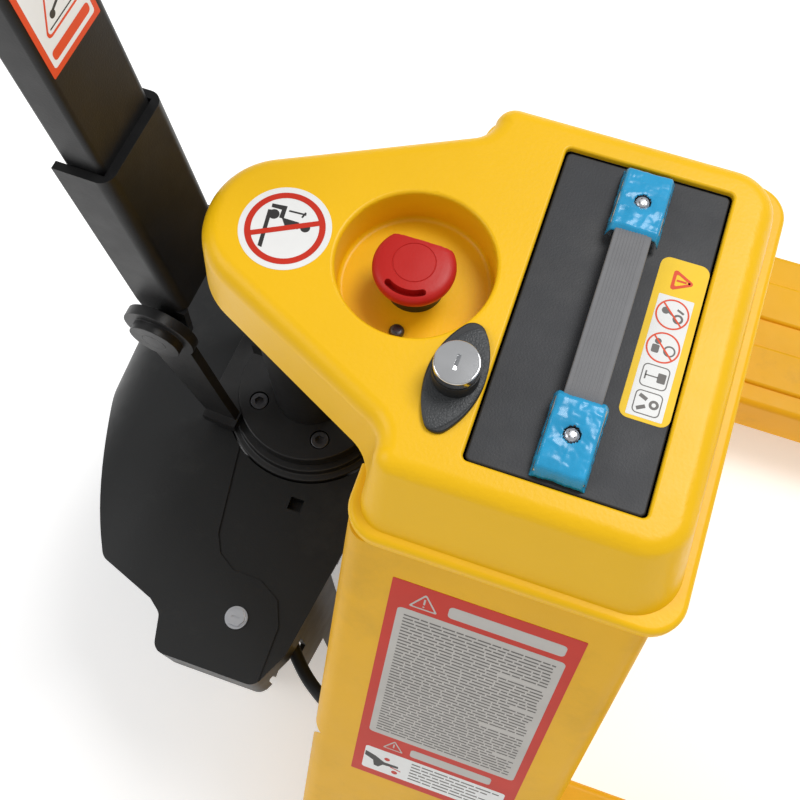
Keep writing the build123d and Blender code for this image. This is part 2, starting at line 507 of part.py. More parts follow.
cm = None
forkc = {}
for s in (-1, 1):
    plate = box(-165, -105, s * CASTER_Y - 18, s * CASTER_Y + 18, 120, 125)
    leg = box(-165, -161, s * CASTER_Y - 18, s * CASTER_Y + 18, 125, 226) + box(-109, -105, s * CASTER_Y - 18, s * CASTER_Y + 18, 125, 226)
    m = plate + leg - cyl(8.05, (AXIS_X, s * CASTER_Y, 110), 30)
    cm = m if cm is None else cm + m
    y = s * CASTER_Y
    fk_ = cyl(8.0, (AXIS_X, y, 96), 34) + cyl(20, (AXIS_X, y, 88), 8)
    fk_ = fk_ + cyl(11, (AXIS_X, y, 125.6), 5)
    for t in (-1, 1):
        fk_ = fk_ + prism_y([(AXIS_X - 18, 90), (AXIS_X + 18, 90), (AXIS_X - 10, 24), (AXIS_X - 32, 24)], y + t * 18 - 2, y + t * 18 + 2)
    fk_ = fk_ + cyl(5.0, (AXIS_X - 20, y - 20, 32.5), 40, "y")
    w_ = cyl(32.5, (AXIS_X - 20, y - 13, 32.5), 26, "y")
    w_ = fillet([e for e in w_.edges() if e.geom_type == GeomType.CIRCLE], 5)
    w_ = w_ - cyl(5.05, (AXIS_X - 20, y - 20, 32.5), 40, "y")
    nm = "right" if s < 0 else "left"
    put("caster_fork_" + nm, fk_)
    put("caster_wheel_" + nm, w_)
put("caster_mounts", cm)

cable_route = [(-98, -152, 223.6), (-97, -157, 213), (-86, -173, 208), (-70, -188, 209), (-50, -200, 216), (-34, -203, 226), (-16, -198, 240), (4, -184, 256), (22, -164, 270), (33, -146, 282), (35, -141, 290), (35.2, -141, 299.0)]
put("drive_cable", tube(cable_route, 4.8, "drive_cable"))

# ---------------------------------------------------------------- steered drive unit, built straight ahead about its own axis
drive = {}
fl = cyl(53, (0, 0, 259.3), FLANGE_TOP - 259.3)
fl = fillet([e for e in fl.edges() if abs(e.center().Z - FLANGE_TOP) < 0.01], 1.0)
fl = fl + cyl(45.0, (0, 0, 214), 46)
fl = fl - cyl(26.08, (0, 0, 252), 40) - cyl(20.08, (0, 0, 205), 60)
fl = fl - cyl(26.08, (0, 0, 251.5), 40)
bolts = None
for k in range(4):
    a = math.radians(30 + 90 * k - STEER_REST)
    bx, by = 38.3 * math.cos(a), 38.3 * math.sin(a)
    fl = fl - cyl(7.2, (bx, by, FLANGE_TOP - 8.4), 20) - cyl(4.2, (bx, by, 225), 60)
    b_ = cyl(6.5, (bx, by, FLANGE_TOP - 8.4), 8.0)
    b_ = fillet([e for e in b_.edges() if abs(e.center().Z - (FLANGE_TOP - 0.4)) < 0.01], 0.8)
    b_ = b_ + cyl(4.0, (bx, by, 226), 37)
    b_ = b_ - extrude(Pos(bx, by, FLANGE_TOP - 5) * RegularPolygon(3.6, 6), 10)
    bolts = b_ if bolts is None else bolts + b_
drive["drive_flange"] = fl
drive["flange_screws"] = bolts

yoke = box(-38, 38, -49, 49, 212.0, 213.9)
for t in (-1, 1):
    yoke = yoke + box(-38, 38, t * 44.5 - 4.5, t * 44.5 + 4.5, 78, 213.9)
    yoke = yoke + cyl(38, (0, t * 44.5 - 4.5, 105), 9, "y")
yoke = yoke - cyl(14.0, (0, -60, 105), 120, "y")
drive["drive_yoke"] = yoke

drive["wheel_axle"] = cyl(14.0, (0, -50, 105), 101, "y")
mot = cyl(44, (0, -82, 105), 33, "y") - cyl(14.5, (0, -60, 105), 20, "y")
for k in range(12):
    a = math.radians(30 * k)
    mot = mot + Pos(45.0 * math.cos(a), -65.5, 105 + 45.0 * math.sin(a)) * Rot(0, -math.degrees(a), 0) * Box(3.0, 29, 3.0)
drive["drive_motor"] = mot
drive["motor_brake"] = cyl(34, (0, -94, 105), 12, "y")

hub = cyl(88, (0, -33, 105), 66, "y") - (cyl(74, (0, -36, 105), 24, "y") - cyl(30, (0, -37, 105), 26, "y"))
hub = hub - (cyl(74, (0, 12, 105), 24, "y") - cyl(30, (0, 11, 105), 26, "y"))
hub = hub - cyl(14.05, (0, -50, 105), 100, "y")
drive["wheel_hub"] = hub
ty = cyl(WHEEL_R, (0, -35, 105), 70, "y")
ty = fillet([e for e in ty.edges() if e.geom_type == GeomType.CIRCLE], 6)
ty = ty - cyl(88, (0, -40, 105), 80, "y")
drive["wheel_tyre"] = ty

# tiller bracket: a base plate behind the flange and two arms up to the pivot hubs
pvx, pvz = PIVOT
tb = box(-66, -40, -47, 47, 259.3, 269.3) - cyl(53.0, (0, 0, 250), 40)
for t in (-1, 1):
    yy = t * 38.0
    arm = prism_y([(-40, 259.3), (-64, 259.3), (pvx - 17, pvz - 8), (pvx - 12, pvz + 14), (pvx + 10, pvz + 16), (pvx + 19, pvz - 4), (-46, 300)], yy - 3.5, yy + 3.5)
    arm = arm - cyl(53.0, (0, 0, 250), 22)
    tb = tb + arm + cyl(24, (pvx, yy - 3.5, pvz), 7, "y") + cyl(17, (pvx, yy - 3.5 if t > 0 else yy - 9.5, pvz), 13, "y")
tb = tb - cyl(8.0, (pvx, -60, pvz), 120, "y")
drive["tiller_bracket"] = tb
drive["pivot_pin"] = cyl(8.0, (pvx, -47.5, pvz), 95, "y")

# ---------------------------------------------------------------- tiller, drawn upright through the pivot and then leaned back
til = {}
TW, TD = 50.0, 25.0
LEN_T = 760.0


def rect_tube(w, d, t, z0, z1, r):
    o = fillet(box(-d / 2, d / 2, -w / 2, w / 2, z0, z1).edges().filter_by(Axis.Z), r)
    i = fillet(box(-d / 2 + t, d / 2 - t, -w / 2 + t, w / 2 - t, z0 - 1, z1 + 1).edges().filter_by(Axis.Z), max(0.5, r - t))
    return o - i


til["tiller_tube"] = rect_tube(TW, TD, 2.5, 60, LEN_T, 4.0)
sl = fillet(box(-16.0, 18.0, -30.0, 30.0, 18, 154).edges().filter_by(Axis.Z).filter_by(lambda e: e.center().X > 0), 8)
sl = sl - box(-40, 13.0, -25.2, 25.2, 0, 180)
fill = box(12.5, 13.2, -25.1, 25.1, 62, 154)
sl = sl + fill
for t in (-1, 1):
    lug = prism_y([(-16, 18), (18, 18), (13, -12), (-13, -12)], t * 27.6 - 2.4, t * 27.6 + 2.4)
    sl = sl + lug + cyl(15, (0, t * 27.6 - 2.4, 0), 4.8, "y")
sl = sl - cyl(8.05, (0, -40, 0), 80, "y")
til["tiller_sleeve"] = sl

# control head: a wedge-shaped housing with a closed hand loop on each side
hz = LEN_T - 20
hd = prism_x([(-46, hz), (46, hz), (58, hz + 40), (58, hz + 120), (40, hz + 170), (-40, hz + 170), (-58, hz + 120), (-58, hz + 40)], -34, 34)
hd = try_fillet(hd, [e for e in hd.edges() if e.length > 20], (10, 8, 6, 4))
hd = hd - fillet(box(-TD / 2, TD / 2, -TW / 2, TW / 2, hz - 5, LEN_T).edges().filter_by(Axis.Z), 4.0)
hd = hd - cyl(9.05, (0, -70, hz + 82), 140, "y")
for yy, zz in ((-24, hz + 135), (24, hz + 135)):
    hd = hd - cyl(8.3, (17.5, yy, zz), 30, "x")
hd = hd - cyl(8.3, (17.5, 0, hz + 52), 30, "x")
hd = hd - fillet(box(-14, 14, -19, 19, hz + 152, hz + 190).edges().filter_by(Axis.Z), 6)
til["control_head"] = hd


bow = None
for s in (-1, 1):
    zc = hz + 82
    ya, yb = sorted((s * 50, s * 178))
    o = box(-15, 15, ya, yb, zc - 62, zc + 62)
    o = fillet([e for e in o.edges().filter_by(Axis.X) if abs(e.center().Y) > 100], 34)
    ia, ib = sorted((s * 40, s * 152))
    i = box(-30, 30, ia, ib, zc - 38, zc + 38)
    i = fillet([e for e in i.edges().filter_by(Axis.X) if abs(e.center().Y) > 100], 16)
    o = o - i
    o = try_fillet(o, [e for e in o.edges() if abs(abs(e.center().X) - 15) < 0.01 and abs(e.center().Y) > 60], (7, 5, 3))
    o = o - prism_x([(-46, hz), (46, hz), (58, hz + 40), (58, hz + 120), (40, hz + 170), (-40, hz + 170), (-58, hz + 120), (-58, hz + 40)], -40, 40)
    bow = o if bow is None else bow + o
til["handle_bow"] = bow
gr = None
for s in (-1, 1):
    zc = hz + 82
    g_ = fillet(box(-17.5, 17.5, s * 165 - 15.5, s * 165 + 15.5, zc - 22, zc + 22).edges().filter_by(Axis.Z), 8)
    g_ = g_ - bow
    gr = g_ if gr is None else gr + g_
til["hand_grips"] = gr

TILT_BODY = ["tiller_tube", "tiller_sleeve", "control_head", "handle_bow", "hand_grips"]
zc = hz + 82
th = cyl(9.0, (0, -92, zc), 184, "y")
for s in (-1, 1):
    a, b = sorted((s * 61, s * 96))
    wing = box(-4, 30, a, b, zc - 9, zc + 9)
    wing = try_fillet(wing, [e for e in wing.edges() if e.center().X > 20], (6, 4))
    wing2 = box(-30, 4, a, b, zc - 9, zc + 9)
    wing2 = try_fillet(wing2, [e for e in wing2.edges() if e.center().X < -20], (6, 4))
    th = th + wing + wing2 + cyl(13, (0, a, zc), b - a, "y")
til["throttle_paddles"] = th


def button(yy, zz, name):
    b_ = cyl(8.0, (22, yy, zz), 16, "x")
    b_ = fillet([e for e in b_.edges() if e.center().X > 37.9], 1.5)
    til[name] = b_


button(-24, hz + 135, "lift_button")
button(24, hz + 135, "lower_button")
button(0, hz + 52, "horn_button")
rb = fillet(box(-13.4, 13.4, -18.4, 18.4, hz + 156, hz + 184).edges().filter_by(Axis.Z), 5.4)
rb = try_fillet(rb, [e for e in rb.edges() if abs(e.center().Z - (hz + 184)) < 0.01], (5, 4, 3))
til["reverse_button"] = rb

place_t = Pos(pvx, 0, pvz) * Rot(0, -LEAN, 0)
for k_, v_ in til.items():
    drive[k_] = place_t * v_

place_d = Pos(AXIS_X, 0, 0) * Rot(0, 0, STEER_REST)
for k_, v_ in drive.items():
    put(k_, place_d * v_)

# ---------------------------------------------------------------- shift to the bottom centre and write
lo = min(p.bounding_box().min.X for p in parts.values())
hi = max(p.bounding_box().max.X for p in parts.values())
SHIFT_X = -(lo + hi) / 2
ylo = min(p.bounding_box().min.Y for p in parts.values())
yhi = max(p.bounding_box().max.Y for p in parts.values())
print("shift", round(SHIFT_X, 4), "y", round(ylo, 3), round(yhi, 3), "rod travel", round(ROD_TRAVEL, 4), "arm swing", round(ARM_SWING, 4), "arm rest", round(arm_rest, 4))
print("lever angle", round(ang, 4), "count", len(parts))
for name, shape in parts.items():
    shape = Pos(SHIFT_X, 0, 0) * shape
    solids = shape.solids()
    out = solids[0] if len(solids) == 1 else Compound(children=list(solids))
    export_step(out, os.path.join("parts", name + ".step"))
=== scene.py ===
import math
import json

import bmesh
import bpy
from mathutils import Matrix, Vector
from mathutils.geometry import tessellate_polygon


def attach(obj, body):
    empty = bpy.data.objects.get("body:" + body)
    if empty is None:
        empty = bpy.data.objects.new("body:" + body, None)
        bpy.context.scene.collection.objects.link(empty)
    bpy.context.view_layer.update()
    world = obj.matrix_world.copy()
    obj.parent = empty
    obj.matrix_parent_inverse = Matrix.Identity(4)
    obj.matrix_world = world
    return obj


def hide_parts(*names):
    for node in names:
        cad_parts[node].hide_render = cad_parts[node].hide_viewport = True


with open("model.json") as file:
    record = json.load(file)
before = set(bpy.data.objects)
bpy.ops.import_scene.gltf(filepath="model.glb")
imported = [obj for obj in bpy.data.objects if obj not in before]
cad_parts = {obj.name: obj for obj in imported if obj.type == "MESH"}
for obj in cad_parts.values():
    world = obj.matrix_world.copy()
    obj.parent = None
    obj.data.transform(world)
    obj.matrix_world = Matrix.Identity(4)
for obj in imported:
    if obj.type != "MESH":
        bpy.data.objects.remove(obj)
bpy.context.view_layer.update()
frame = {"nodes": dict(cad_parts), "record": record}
SX = -469.3069          # layout X of the battery opening's rear edge in the row frame, mm
MM = 0.001
nodes = frame["nodes"]


def W(x, y, z):
    """Layout millimetres to row frame metres."""
    return Vector(((x + SX) * MM, y * MM, z * MM))


STEER = math.radians(-4.0)
LEAN = math.radians(5.3)
AXIS_X = -133.0
M_LAYOUT = Matrix.Translation(Vector((SX * MM, 0, 0)))
M_STEER = M_LAYOUT @ Matrix.Translation(Vector((AXIS_X * MM, 0, 0))) @ Matrix.Rotation(STEER, 4, "Z")
M_TILLER = M_STEER @ Matrix.Translation(Vector((-75.5 * MM, 0, 389 * MM))) @ Matrix.Rotation(-LEAN, 4, "Y")


def lin(c):
    """Colour 0-255 to linear; a value below zero stays black."""
    out = []
    for v in c:
        v = v / 255.0
        out.append(v / 12.92 if v <= 0.04045 else ((v + 0.055) / 1.055) ** 2.4)
    return tuple(out) + (1.0,)


# ------------------------------------------------------------------ materials
def mat(name, rgb, rough=0.5, metallic=0.0, vary=0.06, vscale=40.0, rvary=0.08, rscale=60.0,
        bump=0.0, bscale=400.0, bdist=0.0002, coat=0.0, coat_rough=0.15, dirt=None, dirt_scale=12.0,
        dirt_amount=0.0, stretch=(1, 1, 1), specks=0.0, speck_scale=700.0, spec=0.5, ior=1.45, sss=0.0, kind="noise", fine=0.0):
    m = bpy.data.materials.new(name)
    m.use_nodes = True
    nt = m.node_tree
    b = nt.nodes["Principled BSDF"]
    L = nt.links
    col = lin(rgb)
    b.inputs["Metallic"].default_value = metallic
    b.inputs["Coat Weight"].default_value = coat
    b.inputs["Coat Roughness"].default_value = coat_rough
    b.inputs["Specular IOR Level"].default_value = spec
    if sss:
        b.inputs["Subsurface Weight"].default_value = sss
        b.inputs["Subsurface Radius"].default_value = (0.004, 0.003, 0.001)
        b.inputs["Subsurface Scale"].default_value = 0.44
    tc = nt.nodes.new("ShaderNodeTexCoord")
    mp = nt.nodes.new("ShaderNodeMapping")
    mp.inputs["Scale"].default_value = stretch
    L.new(tc.outputs["Object"], mp.inputs["Vector"])

    def noise(scale, detail=4.0, roughness=0.55):
        n = nt.nodes.new("ShaderNodeTexNoise")
        n.inputs["Scale"].default_value = scale
        n.inputs["Detail"].default_value = detail
        n.inputs["Roughness"].default_value = roughness
        L.new(mp.outputs["Vector"], n.inputs["Vector"])
        return n

    def ramp(src, p0, p1, c0, c1):
        r = nt.nodes.new("ShaderNodeValToRGB")
        r.color_ramp.elements[0].position = p0
        r.color_ramp.elements[1].position = p1
        r.color_ramp.elements[0].color = c0
        r.color_ramp.elements[1].color = c1
        L.new(src, r.inputs["Fac"])
        return r

    n1 = noise(vscale)
    dark = tuple(max(0.0, c * (1 - vary)) for c in col[:3]) + (1,)
    lite = tuple(min(1.0, c * (1 + vary)) for c in col[:3]) + (1,)
    out = ramp(n1.outputs["Fac"], 0.3, 0.7, dark, lite).outputs["Color"]
    if specks:
        n3 = noise(speck_scale, 2.0, 0.5)
        r3 = ramp(n3.outputs["Fac"], 0.71, 0.75, (0, 0, 0, 1), (1, 1, 1, 1))
        mul = nt.nodes.new("ShaderNodeMath")
        mul.operation = "MULTIPLY"
        mul.inputs[1].default_value = specks
        L.new(r3.outputs["Color"], mul.inputs[0])
        mx = nt.nodes.new("ShaderNodeMix")
        mx.data_type = "RGBA"
        L.new(mul.outputs[0], mx.inputs["Factor"])
        L.new(out, mx.inputs["A"])
        mx.inputs["B"].default_value = tuple(min(1.0, c * 1.25 + 0.09) for c in col[:3]) + (1,)
        out = mx.outputs["Result"]
    if dirt_amount:
        n2 = noise(dirt_scale, 8.0, 0.7)
        r2 = ramp(n2.outputs["Fac"], 0.52, 0.74, (0, 0, 0, 1), (1, 1, 1, 1))
        mul = nt.nodes.new("ShaderNodeMath")
        mul.operation = "MULTIPLY"
        mul.inputs[1].default_value = dirt_amount
        L.new(r2.outputs["Color"], mul.inputs[0])
        mx = nt.nodes.new("ShaderNodeMix")
        mx.data_type = "RGBA"
        L.new(mul.outputs[0], mx.inputs["Factor"])
        L.new(out, mx.inputs["A"])
        mx.inputs["B"].default_value = lin(dirt)
        out = mx.outputs["Result"]
    L.new(out, b.inputs["Base Color"])
    nr = noise(rscale)
    mr = nt.nodes.new("ShaderNodeMapRange")
    mr.inputs["To Min"].default_value = max(0.02, rough - rvary)
    mr.inputs["To Max"].default_value = min(1.0, rough + rvary)
    L.new(nr.outputs["Fac"], mr.inputs["Value"])
    L.new(mr.outputs["Result"], b.inputs["Roughness"])
    if bump:
        if kind == "leather":
            nb = nt.nodes.new("ShaderNodeTexVoronoi")
            nb.feature = "DISTANCE_TO_EDGE"
            nb.inputs["Scale"].default_value = bscale
            L.new(mp.outputs["Vector"], nb.inputs["Vector"])
            src = nb.outputs["Distance"]
        elif kind == "wave":
            nb = nt.nodes.new("ShaderNodeTexWave")
            nb.inputs["Scale"].default_value = bscale
            nb.inputs["Distortion"].default_value = 0.2
            L.new(mp.outputs["Vector"], nb.inputs["Vector"])
            src = nb.outputs["Fac"]
        else:
            nb = noise(bscale, 3.0, 0.5)
            src = nb.outputs["Fac"]
        bp = nt.nodes.new("ShaderNodeBump")
        bp.inputs["Strength"].default_value = bump
        bp.inputs["Distance"].default_value = bdist
        L.new(src, bp.inputs["Height"])
        L.new(bp.outputs["Normal"], b.inputs["Normal"])
        if coat:
            L.new(bp.outputs["Normal"], b.inputs["Coat Normal"])
    return m


M = {
    "cover_yellow": mat("cover_yellow_plastic", (248, 194, 16), 0.36, coat=0.0, spec=0.28, vary=0.035, vscale=9, bump=0.28, bscale=520, bdist=0.00035, rvary=0.06, specks=0.10, speck_scale=520),
    "body_yellow": mat("body_yellow_powder_coat", (240, 182, 12), 0.42, coat=0.0, spec=0.25, vary=0.05, vscale=14, bump=0.35, bscale=900, bdist=0.00022, dirt=(120, 92, 40), dirt_scale=10, dirt_amount=0.20, specks=0.10, speck_scale=650),
    "fork_yellow": mat("fork_yellow_powder_coat", (240, 180, 14), 0.45, coat=0.0, spec=0.25, vary=0.06, vscale=9, bump=0.3, bscale=800, bdist=0.0002, dirt=(120, 96, 50), dirt_scale=6, dirt_amount=0.45, specks=0.12, speck_scale=500),
    "black_sheet": mat("black_painted_sheet", (34, 34, 35), 0.5, bump=0.25, bscale=700, dirt=(80, 78, 72), dirt_amount=0.12),
    "black_enamel": mat("black_enamel", (22, 22, 23), 0.42, bump=0.35, bscale=260, bdist=0.0003, dirt=(86, 84, 80), dirt_amount=0.14, specks=0.06),
    "chrome_rod": mat("chrome_rod", (225, 226, 228), 0.12, metallic=1.0, vary=0.03, rvary=0.04),
    "hose_rubber": mat("hose_rubber", (22, 22, 23), 0.62, bump=0.3, bscale=900),
    "tank_plastic": mat("tank_plastic", (205, 203, 190), 0.45, vary=0.05, bump=0.2, bscale=300),
    "cast_alloy": mat("cast_alloy", (150, 152, 155), 0.48, metallic=0.85, bump=0.5, bscale=500, bdist=0.0003),
    "black_plastic": mat("black_plastic", (30, 31, 32), 0.48, bump=0.35, bscale=1100, specks=0.05),
    "dark_zinc": mat("dark_zinc_screw", (92, 92, 95), 0.36, metallic=0.85, bump=0.2, bscale=900),
    "zinc": mat("bright_zinc", (205, 207, 212), 0.3, metallic=0.9, bump=0.25, bscale=300, vary=0.1),
    "steel_pin": mat("ground_steel", (170, 171, 174), 0.3, metallic=1.0, stretch=(1, 12, 1), vscale=200),
    "shroud_black": mat("shroud_black_moulding", (24, 25, 26), 0.46, spec=0.4, vary=0.08, vscale=16, bump=0.3, bscale=600, bdist=0.0002, dirt=(92, 90, 86), dirt_scale=9, dirt_amount=0.18, specks=0.10),
    "tread": mat("drive_tyre_rubber", (33, 33, 34), 0.72, bump=0.6, bscale=350, dirt=(90, 86, 80), dirt_amount=0.3),
    "tiller_black": mat("tiller_black_powder_coat", (13, 13, 14), 0.42, spec=0.3, bump=0.35, bscale=900, bdist=0.0002, specks=0.10, dirt=(85, 84, 82), dirt_amount=0.1),
    "head_plastic": mat("head_dark_plastic", (44, 45, 48), 0.5, bump=0.4, bscale=1200, specks=0.05),
    "grip_rubber": mat("grip_soft_rubber", (24, 24, 25), 0.75, bump=0.6, bscale=1400, bdist=0.0003, kind="leather"),
    "paddle_plastic": mat("paddle_yellow_plastic", (246, 190, 14), 0.4, spec=0.3, bump=0.2, bscale=600, vary=0.04),
    "grey_button": mat("grey_button_plastic", (150, 152, 156), 0.42, bump=0.2, bscale=900),
    "green_button": mat("green_button_plastic", (52, 140, 74), 0.4, bump=0.2, bscale=900),
    "red_plastic": mat("stop_button_red", (190, 30, 24), 0.4, spec=0.3, vary=0.05, bump=0.3, bscale=700, rvary=0.08, specks=0.12),
    "battery_grey": mat("battery_grained_plastic", (50, 51, 54), 0.5, spec=0.35, bump=0.45, bscale=900, bdist=0.0002, specks=0.16, dirt=(120, 116, 108), dirt_amount=0.10),
    "strap_grey": mat("strap_ribbed_grey", (120, 120, 122), 0.62, bump=0.5, bscale=1200, bdist=0.0002),
    "chrome_trim": mat("strap_cap_chrome", (196, 208, 216), 0.16, metallic=0.9, rvary=0.05, bump=0.15, bscale=120, bdist=0.0006),
    "roller_pu": mat("roller_polyurethane", (190, 92, 30), 0.42, bump=0.2, bscale=300, sss=0.1),
    "caster_tread": mat("caster_tread", (60, 60, 62), 0.55, bump=0.3, bscale=400),
    "leather": mat("key_plate_grain", (58, 60, 62), 0.5, bump=0.9, bscale=650, bdist=0.0004, kind="leather"),
    "blue_film": mat("blue_film", (40, 158, 208), 0.28, coat=0.2, coat_rough=0.2, spec=0.35, vary=0.12, vscale=60, bump=0.3, bscale=90, bdist=0.0008),
    "label_red": mat("label_red", (204, 48, 28), 0.42, spec=0.25, vary=0.05, bump=0.1, bscale=300),
    "label_grey": mat("label_grey", (196, 192, 186), 0.45, spec=0.25, vary=0.05, bump=0.1, bscale=300),
    "label_white": mat("label_white", (240, 240, 238), 0.45, spec=0.25, vary=0.03, bump=0.1, bscale=300),
    # black print on the labels; the same black also paints the shade of the screw cross recesses
    "black_print_and_painted_shade": mat("black_print_and_painted_shade", (38, 36, 35), 0.45, vary=0.05),
    "label_dark": mat("label_print_grey", (96, 92, 88), 0.45, vary=0.08),
    "label_yellow": mat("label_yellow", (250, 206, 28), 0.42, spec=0.25, vary=0.04, bump=0.1, bscale=300),
    "label_orange": mat("label_orange_red", (230, 78, 36), 0.42, spec=0.25, vary=0.05, bump=0.1, bscale=300),
    "label_blue": mat("label_blue_print", (60, 98, 150), 0.45, vary=0.06),
}
record_slot = {s["node"]: s["material_slot"] for s in frame["record"]["subparts"]}


def set_mat(o, m):
    if len(o.material_slots) == 0:
        o.data.materials.append(m)
    else:
        for s in o.material_slots:
            s.material = m


def add_bevel(o, width, segs=2, angle=32):
    md = o.modifiers.new("edge", "BEVEL")
    md.width = width * MM
    md.segments = segs
    md.limit_method = "ANGLE"
    md.angle_limit = math.radians(angle)
    md.harden_normals = False
    md.use_clamp_overlap = True
    wn = o.modifiers.new("normals", "WEIGHTED_NORMAL")
    wn.keep_sharp = True


for name, o in nodes.items():
    m = M.get(record_slot[name], M["black_plastic"])
    if name in ("fork_left", "fork_right"):
        m = M["fork_yellow"]
    if name == "pivot_pin":
        m = M["black_enamel"]
    if name == "key_switch_body":
        m = M["black_plastic"]
    set_mat(o, m)

BEVELS = {"chassis_frame": 0.8, "fork_left": 0.8, "fork_right": 0.8, "tiller_sleeve": 0.8, "tiller_bracket": 1.0, "tiller_tube": 0.4,
          "drive_base_plate": 1.0, "lift_beam": 0.8, "lift_cylinder": 0.8, "shroud_rear": 0.8, "shroud_front": 0.8, "control_head": 0.6,
          "battery_strap": 0.5, "controller": 0.5, "caster_mounts": 0.5, "caster_fork_left": 0.6, "caster_fork_right": 0.6, "drive_motor": 0.5,
          "motor_brake": 1.0, "pump_motor": 1.0, "drive_yoke": 0.8, "wheel_hub": 1.0, "nose_bracket": 0.8, "torsion_shaft": 0.8, "push_rods": 0.6,
          "roller_arms": 0.8, "shaft_brackets": 0.6, "pivot_pin": 0.6, "shroud_screws": 0.3, "throttle_paddles": 0.5}


def smooth_cad(o, angle=30):
    """Welds the mesh in a modifier and shades curved faces smoothly; vertex positions stay as they are."""
    me = o.data
    if "custom_normal" in me.attributes:
        me.attributes.remove(me.attributes["custom_normal"])
    for p in me.polygons:
        p.use_smooth = True
    wd = o.modifiers.new("weld", "WELD")
    wd.merge_threshold = 0.000002


for name, o in nodes.items():
    smooth_cad(o)
    add_bevel(o, BEVELS.get(name, 0.25), 2 if name in BEVELS else 1)


# ------------------------------------------------------------------ mesh helpers
def mesh_obj(name, verts, faces, mats=None, face_mats=None, smooth=True, angle=35):
    me = bpy.data.meshes.new(name)
    me.from_pydata([tuple(v) for v in verts], [], faces)
    me.update()
    o = bpy.data.objects.new(name, me)
    bpy.context.scene.collection.objects.link(o)
    for m in (mats or []):
        me.materials.append(m)
    if face_mats:
        for p, k in zip(me.polygons, face_mats):
            p.material_index = k
    bm = bmesh.new()
    bm.from_mesh(me)
    bmesh.ops.recalc_face_normals(bm, faces=bm.faces)
    if smooth:
        for f in bm.faces:
            f.smooth = True
        for e in bm.edges:
            if len(e.link_faces) == 2 and e.calc_face_angle(0.0) > math.radians(angle):
                e.smooth = False
    bm.to_mesh(me)
    bm.free()
    return o


def arc(cx, cy, r, a0, a1, n):
    return [(cx + r * math.cos(math.radians(a0 + (a1 - a0) * i / n)), cy + r * math.sin(math.radians(a0 + (a1 - a0) * i / n))) for i in range(n + 1)]


def round_poly(pts, radii, n=6):
    """Closed polygon with rounded corners: list of 2-D points."""
    out = []
    k = len(pts)
    for i in range(k):
        p0, p1, p2 = Vector(pts[i - 1]), Vector(pts[i]), Vector(pts[(i + 1) % k])
        r = radii[i] if isinstance(radii, (list, tuple)) else radii
        a, b = (p0 - p1).normalized(), (p2 - p1).normalized()
        if r <= 0:
            out.append(tuple(p1))
            continue
        half = a.angle(b) / 2
        d = r / math.tan(half)
        c = p1 + (a + b).normalized() * (r / math.sin(half))
        s, e = p1 + a * d, p1 + b * d
        a0 = math.atan2(s.y - c.y, s.x - c.x)
        a1 = math.atan2(e.y - c.y, e.x - c.x)
        da = a1 - a0
        while da > math.pi:
            da -= 2 * math.pi
        while da < -math.pi:
            da += 2 * math.pi
        for j in range(n + 1):
            t = a0 + da * j / n
            out.append((c.x + r * math.cos(t), c.y + r * math.sin(t)))
    return out


def place(o, body):
    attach(o, body)
    return o


# ------------------------------------------------------------------ stage
FLOOR_GLOW = 0.35


def plane(name, size, loc, mtl):
    bpy.ops.mesh.primitive_plane_add(size=size, location=loc)
    o = bpy.context.object
    o.name = name
    o.data.materials.append(mtl)
    return o


floor_m = mat("studio_floor", (252, 252, 252), 0.95, vary=0.005, vscale=2, rvary=0.02, spec=0.1)
fb = floor_m.node_tree.nodes["Principled BSDF"]
fb.inputs["Emission Color"].default_value = (1.0, 1.0, 1.0, 1.0)
fb.inputs["Emission Strength"].default_value = FLOOR_GLOW
plane("studio_floor_sheet", 120, (0, 0, 0), floor_m)

world = bpy.data.worlds.new("studio") if bpy.context.scene.world is None else bpy.context.scene.world
bpy.context.scene.world = world
world.use_nodes = True
bpy.context.scene.view_settings.view_transform = "Standard"
bg = world.node_tree.nodes["Background"]
bg.inputs["Color"].default_value = (1, 1, 1, 1)
bg.inputs["Strength"].default_value = 0.44


def area(name, loc, target, size, power, size_y=None, color=(1, 1, 1)):
    ld = bpy.data.lights.new(name, "AREA")
    ld.energy = power
    ld.color = color
    ld.size = size
    if size_y:
        ld.shape = "RECTANGLE"
        ld.size_y = size_y
    o = bpy.data.objects.new(name, ld)
    o.location = loc
    d = Vector(target) - Vector(loc)
    o.rotation_euler = d.to_track_quat("-Z", "Y").to_euler()
    bpy.context.scene.collection.objects.link(o)
    return o


area("key_light", (0.4, 1.2, 3.2), (-0.45, 0, 0.4), 1.3, 56)
area("left_light", (-2.4, -0.6, 2.2), (-0.45, 0, 0.4), 1.2, 14)
area("front_fill", (0.4, -2.6, 1.4), (-0.4, 0, 0.3), 1.6, 1.5)

# ------------------------------------------------------------------ camera
cam_data = bpy.data.cameras.new("view_camera")
cam_data.lens = 48.19
cam_data.sensor_width = 36.0
cam_data.clip_start = 0.02
cam = bpy.data.objects.new("view_camera", cam_data)
bpy.context.scene.collection.objects.link(cam)
loc = W(26.3, -250.9, 999.8)
cam.matrix_world = Matrix((
    (0.9452, -0.3029, 0.1221, loc.x),
    (0.3265, 0.8820, -0.3397, loc.y),
    (-0.0048, 0.3609, 0.9326, loc.z),
    (0, 0, 0, 1)))
bpy.context.scene.camera = cam

# ------------------------------------------------------------------ flat stickers
def circ(cx, cy, r, n=48, a0=0.0, a1=360.0):
    k = n if abs(a1 - a0) >= 360 else n + 1
    return [(cx + r * math.cos(math.radians(a0 + (a1 - a0) * i / n)), cy + r * math.sin(math.radians(a0 + (a1 - a0) * i / n))) for i in range(k)]


def bar(p, q, w):
    p, q = Vector(p), Vector(q)
    d = (q - p).normalized()
    n = Vector((-d.y, d.x)) * (w / 2)
    return [tuple(p + n), tuple(q + n), tuple(q - n), tuple(p - n)]


